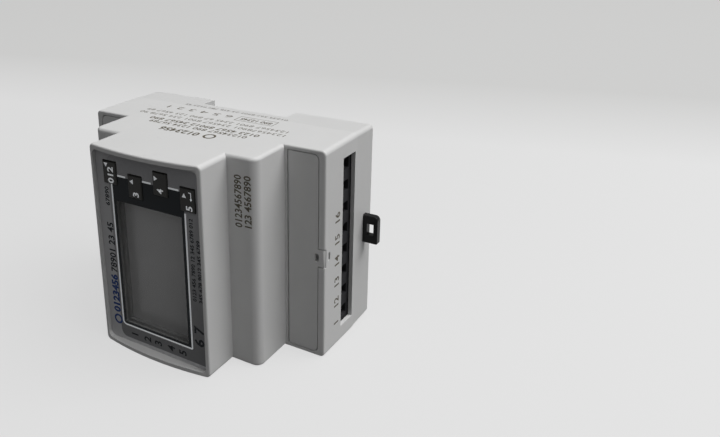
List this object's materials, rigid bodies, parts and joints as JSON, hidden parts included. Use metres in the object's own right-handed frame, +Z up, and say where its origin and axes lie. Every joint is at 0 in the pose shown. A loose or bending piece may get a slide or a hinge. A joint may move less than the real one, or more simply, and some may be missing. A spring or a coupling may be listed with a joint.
{
  "type": "three-phase energy meter",
  "caption": "Rail-mounted energy meter with a stepped case, sunk display panel, staggered keys, hinged terminal covers and a sprung rail clip.",
  "frame": {"origin": "middle of the end face that the meter stands on", "axes": "+X from the upper to the lower terminals, along the height of the meter; +Y from the display to the rail; +Z up, along its width of four modules"},
  "size_m": [0.0997, 0.065, 0.072],
  "materials": {
    "case": "light grey polycarbonate, fine satin texture",
    "base": "light grey polycarbonate, fine satin texture",
    "overlay": "dark grey printed sheet, satin gloss",
    "window": "clear smoked polycarbonate lens, polished",
    "bezel": "dark grey moulded plastic",
    "lcd": "unlit grey display glass",
    "light_guide": "milky acrylic",
    "key": "black, satin, with pale printed arrows",
    "black_plastic": "black moulded plastic",
    "terminal": "dark grey glass-filled polyamide",
    "clip": "black polyamide, satin gloss",
    "steel": "zinc-plated steel",
    "brass": "gold-flashed brass",
    "board": "green solder mask on glass-fibre board",
    "chip": "black epoxy",
    "ferrite": "dark ferrite",
    "winding": "yellow tape over the winding",
    "capacitor": "dark blue sleeve",
    "film": "yellow box",
    "varistor": "blue epoxy"
  },
  "bodies": {
    "case": {"front_case": "case", "rear_base": "base", "front_overlay": "overlay", "display_window": "window", "lcd_bezel": "bezel", "lcd_glass": "lcd", "lcd_light_guide": "light_guide", "lcd_pins": "steel", "key_switches": "chip", "display_board": "board", "metering_board": "board", "power_board": "board", "display_screws": "steel", "metering_screws": "steel", "power_screws": "steel", "controller_chip": "chip", "metering_chip": "chip", "optocouplers": "chip", "display_header_strip": "black_plastic", "display_header_pins": "brass", "display_header_socket": "black_plastic", "power_header_strip": "black_plastic", "power_header_pins": "brass", "power_header_socket": "black_plastic", "terminal_block_bottom": "terminal", "terminal_block_top": "terminal", "clamp_cages_bottom": "steel", "clamp_cages_top": "steel", "terminal_screws_bottom": "steel", "terminal_screws_top": "steel", "transformer_core": "ferrite", "transformer_coil": "winding", "smoothing_capacitors": "capacitor", "film_capacitor": "film", "varistors": "varistor"},
    "lower_cover": {"terminal_cover_bottom": "case"},
    "upper_cover": {"terminal_cover_top": "case"},
    "rail_clip": {"din_clip": "clip"},
    "voltage_key": {"key_voltage": "key", "plunger_voltage": "black_plastic"},
    "demand_key": {"key_demand": "key", "plunger_demand": "black_plastic"},
    "power_key": {"key_power": "key", "plunger_power": "black_plastic"},
    "energy_key": {"key_energy": "key", "plunger_energy": "black_plastic"}
  },
  "joints": [
    {"name": "lower_cover_hinge", "type": "hinge", "parent": "case", "child": "lower_cover", "pos_m": [0.0345, -0.00015, 0.036], "axis": [0, 0, -1], "range_deg": [0, 93]},
    {"name": "upper_cover_hinge", "type": "hinge", "parent": "case", "child": "upper_cover", "pos_m": [-0.0345, -0.00015, 0.036], "axis": [0, 0, 1], "range_deg": [0, 93]},
    {"name": "clip_slide", "type": "slide", "parent": "case", "child": "rail_clip", "axis": [1, 0, 0], "range_m": [0, 0.0025], "stiffness_N_per_m": 400, "springref_m": -0.003},
    {"name": "voltage_key_press", "type": "slide", "parent": "case", "child": "voltage_key", "axis": [0, 1, 0], "range_m": [0, 0.0004], "stiffness_N_per_m": 200, "springref_m": -0.001},
    {"name": "demand_key_press", "type": "slide", "parent": "case", "child": "demand_key", "axis": [0, 1, 0], "range_m": [0, 0.0004], "stiffness_N_per_m": 200, "springref_m": -0.001},
    {"name": "power_key_press", "type": "slide", "parent": "case", "child": "power_key", "axis": [0, 1, 0], "range_m": [0, 0.0004], "stiffness_N_per_m": 200, "springref_m": -0.001},
    {"name": "energy_key_press", "type": "slide", "parent": "case", "child": "energy_key", "axis": [0, 1, 0], "range_m": [0, 0.0004], "stiffness_N_per_m": 200, "springref_m": -0.001}
  ]
}
